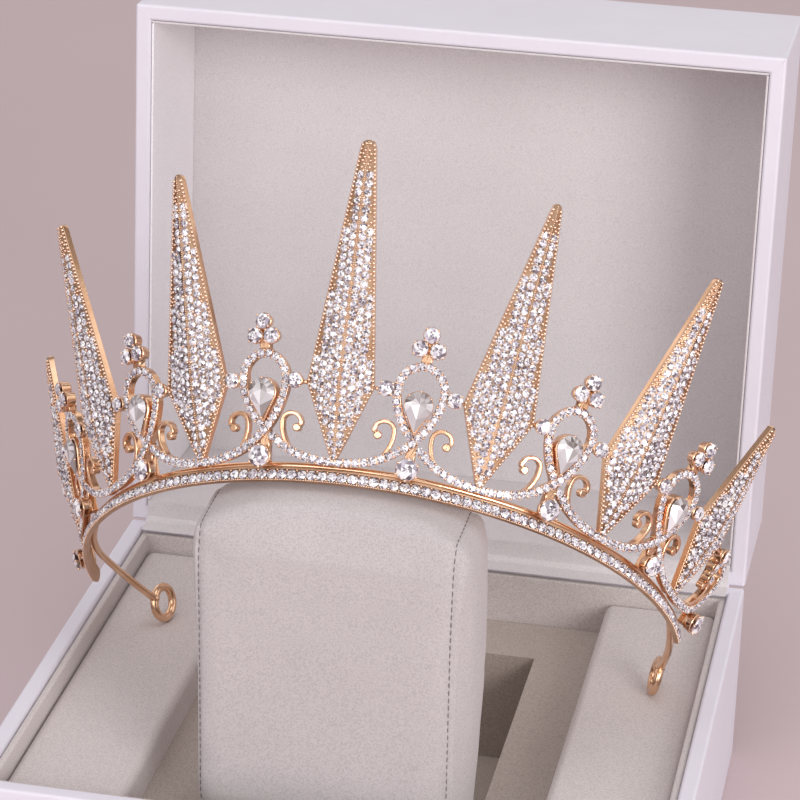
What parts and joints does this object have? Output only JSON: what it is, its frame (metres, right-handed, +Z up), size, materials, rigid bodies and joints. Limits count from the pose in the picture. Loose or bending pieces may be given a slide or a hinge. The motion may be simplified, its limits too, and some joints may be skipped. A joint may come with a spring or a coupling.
{
  "type": "crown headband in an open hinged presentation box",
  "caption": "Curved metal crown headband with tapered stone-set spikes and crossed-loop ornaments, hung over a soft pillow in a square box with a back-hinged lid.",
  "frame": {"origin": "centre of the flat underside of the box", "axes": "+Z up from the surface the box stands on, -Y towards the front of the box, +X towards its right as seen from the front"},
  "size_m": [0.1866, 0.2022, 0.1985],
  "materials": {
    "gold": "polished rose gold plating",
    "crystal": "clear cut crystal with a mirrored back",
    "white_cover": "smooth white leatherette over board",
    "velvet": "soft grey-beige velvet"
  },
  "bodies": {
    "case": {"band": "gold", "head_wire": "gold", "spike_1": "gold", "spike_2": "gold", "spike_3": "gold", "spike_4": "gold", "spike_5": "gold", "spike_6": "gold", "spike_7": "gold", "loop_1": "gold", "loop_2": "gold", "loop_3": "gold", "loop_4": "gold", "loop_5": "gold", "loop_6": "gold", "end_ornament_left": "gold", "end_ornament_right": "gold", "band_stones": "crystal", "pear_stone_1": "crystal", "pear_stone_2": "crystal", "pear_stone_3": "crystal", "pear_stone_4": "crystal", "pear_stone_5": "crystal", "pear_stone_6": "crystal", "round_stone_1": "crystal", "round_stone_2": "crystal", "round_stone_3": "crystal", "round_stone_4": "crystal", "round_stone_5": "crystal", "round_stone_6": "crystal", "round_stone_7": "crystal", "round_stone_8": "crystal", "top_stones_1": "crystal", "top_stones_2": "crystal", "top_stones_3": "crystal", "top_stones_4": "crystal", "top_stones_5": "crystal", "top_stones_6": "crystal", "side_stones_1": "crystal", "side_stones_2": "crystal", "side_stones_3": "crystal", "side_stones_4": "crystal", "side_stones_5": "crystal", "side_stones_6": "crystal", "end_stones_left": "crystal", "end_stones_right": "crystal", "box_base": "white_cover", "hinge_fold": "white_cover", "base_liner": "velvet", "tray": "velvet", "pillow": "velvet"},
    "lid": {"lid": "white_cover", "lid_liner": "velvet"}
  },
  "joints": [
    {"name": "lid_hinge", "type": "hinge", "parent": "case", "child": "lid", "pos_m": [0, 0.0728, 0.0507], "axis": [1, 0, 0], "range_deg": [0, 30]}
  ]
}
